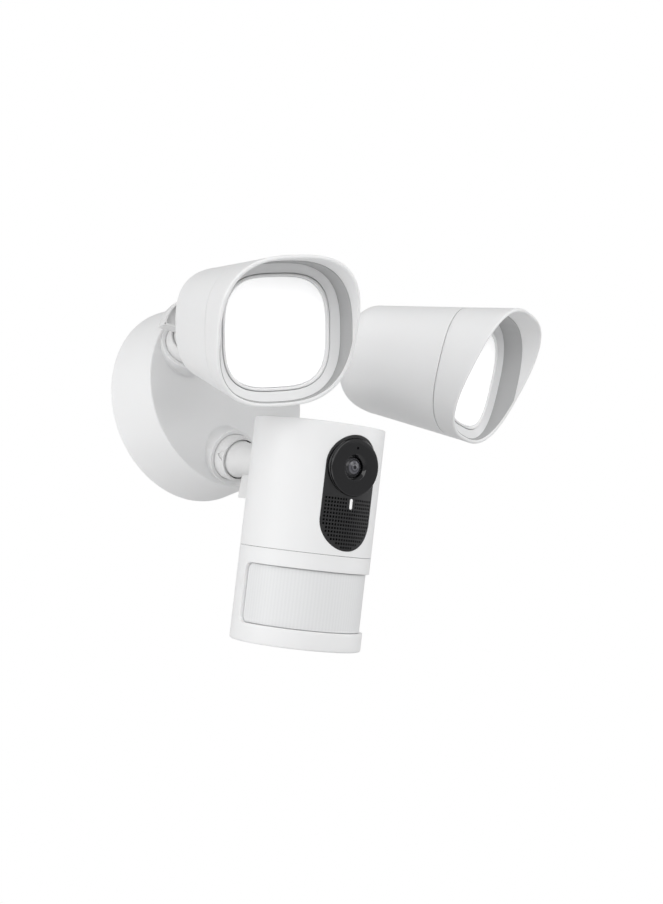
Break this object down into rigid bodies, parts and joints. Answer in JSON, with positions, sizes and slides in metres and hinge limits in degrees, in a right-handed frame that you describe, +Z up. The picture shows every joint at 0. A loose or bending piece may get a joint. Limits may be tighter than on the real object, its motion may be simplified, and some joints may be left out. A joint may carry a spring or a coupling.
{
  "type": "floodlight security camera",
  "caption": "Wall-mounted security camera on a round base, with ball-jointed floodlight heads under slanted hoods and a cylindrical camera module with a wide motion window.",
  "frame": {"origin": "centre of the base on the wall plane, at the wall bracket's back face", "axes": "-Y out of the wall, +Z up, +X to the viewer's right"},
  "size_m": [0.2577, 0.2155, 0.2423],
  "materials": {
    "white_plastic": "fine satin texture",
    "joint_plastic": "satin",
    "bezel_plastic": "satin",
    "diffuser": "opal, frosted",
    "pir_film": "translucent, finely ribbed",
    "black_plastic": "satin",
    "black_gloss": "polished",
    "lens_glass": "polished, coated",
    "light_pipe": "clear white",
    "steel": "zinc plated",
    "aluminium": "as extruded",
    "rubber": "matte",
    "circuit_board": "solder mask",
    "led_board": "white solder mask",
    "led": "phosphor",
    "grey_plastic": "satin",
    "component": "moulded"
  },
  "bodies": {
    "wall_base": {"base_housing": "white_plastic", "back_plate": "grey_plastic", "wall_bracket": "steel", "wall_gasket": "rubber", "back_plate_screws": "steel", "driver_board": "circuit_board", "transformer": "component", "capacitors": "component", "terminal_block": "grey_plastic", "fixing_bolt": "steel", "fixing_bolt_cap": "white_plastic"},
    "left_collar": {"left_socket_collar": "joint_plastic"},
    "left_stem": {"left_ball_stem": "joint_plastic", "left_stem_nut": "steel"},
    "left_light": {"left_rear_housing": "white_plastic", "left_front_hood": "white_plastic", "left_bezel": "bezel_plastic", "left_diffuser_lens": "diffuser", "left_lens_gasket": "rubber", "left_led_board": "led_board", "left_leds": "led", "left_heat_sink": "aluminium", "left_board_screws": "steel"},
    "right_collar": {"right_socket_collar": "joint_plastic"},
    "right_stem": {"right_ball_stem": "joint_plastic", "right_stem_nut": "steel"},
    "right_light": {"right_rear_housing": "white_plastic", "right_front_hood": "white_plastic", "right_bezel": "bezel_plastic", "right_diffuser_lens": "diffuser", "right_lens_gasket": "rubber", "right_led_board": "led_board", "right_leds": "led", "right_heat_sink": "aluminium", "right_board_screws": "steel"},
    "camera_collar": {"camera_socket_collar": "joint_plastic"},
    "camera_stem": {"camera_ball_stem": "joint_plastic", "camera_stem_nut": "steel"},
    "button": {"sync_button": "white_plastic"},
    "camera_module": {"camera_rear_bracket": "joint_plastic", "upper_housing": "white_plastic", "lower_housing": "white_plastic", "housing_seal": "rubber", "housing_screws": "steel", "pir_window": "pir_film", "pir_sensors": "steel", "pir_board": "circuit_board", "face_inlay": "black_plastic", "lens_disc": "black_gloss", "lens_glass": "lens_glass", "lens_barrel": "black_plastic", "image_sensor_board": "circuit_board", "main_board": "circuit_board", "speaker": "black_plastic", "status_light": "light_pipe", "wifi_antenna": "component"}
  },
  "joints": [
    {"name": "left_swivel", "type": "hinge", "parent": "wall_base", "child": "left_collar", "pos_m": [-0.03952, -0.04955, 0.02282], "axis": [-0.3342, -0.9225, 0.193], "range_deg": [-45, 5]},
    {"name": "left_tilt", "type": "hinge", "parent": "left_collar", "child": "left_stem", "pos_m": [-0.03952, -0.04955, 0.02282], "axis": [0.9322, -0.2934, 0.2117], "range_deg": [-33, 0.5]},
    {"name": "left_roll", "type": "hinge", "parent": "left_stem", "child": "left_light", "pos_m": [-0.03952, -0.04955, 0.02282], "axis": [-0.2842, -0.9559, -0.0735], "range_deg": [-30, 30]},
    {"name": "right_swivel", "type": "hinge", "parent": "wall_base", "child": "right_collar", "pos_m": [0.03952, -0.04955, 0.02282], "axis": [0.3342, -0.9225, 0.193], "range_deg": [-10, 45]},
    {"name": "right_tilt", "type": "hinge", "parent": "right_collar", "child": "right_stem", "pos_m": [0.03952, -0.04955, 0.02282], "axis": [0.8755, 0.3797, 0.299], "range_deg": [-27.5, 5]},
    {"name": "right_roll", "type": "hinge", "parent": "right_stem", "child": "right_light", "pos_m": [0.03952, -0.04955, 0.02282], "axis": [0.3902, -0.9203, 0.0261], "range_deg": [-30, 25]},
    {"name": "camera_swivel", "type": "hinge", "parent": "wall_base", "child": "camera_collar", "pos_m": [0, -0.04955, -0.04564], "axis": [0, -0.9225, -0.3859], "range_deg": [-40, 30]},
    {"name": "camera_tilt", "type": "hinge", "parent": "camera_collar", "child": "camera_stem", "pos_m": [0, -0.04955, -0.04564], "axis": [0.8965, -0.171, 0.4088], "range_deg": [-0.5, 27]},
    {"name": "camera_roll", "type": "hinge", "parent": "camera_stem", "child": "camera_module", "pos_m": [0, -0.04955, -0.04564], "axis": [-0.0731, -0.967, -0.2441], "range_deg": [-25, 25]},
    {"name": "sync_button_press", "type": "slide", "parent": "camera_module", "child": "button", "axis": [-0.0693, -0.2392, 0.9685], "range_m": [0, 0.001], "stiffness_N_per_m": 800, "springref_m": -0.0015}
  ]
}
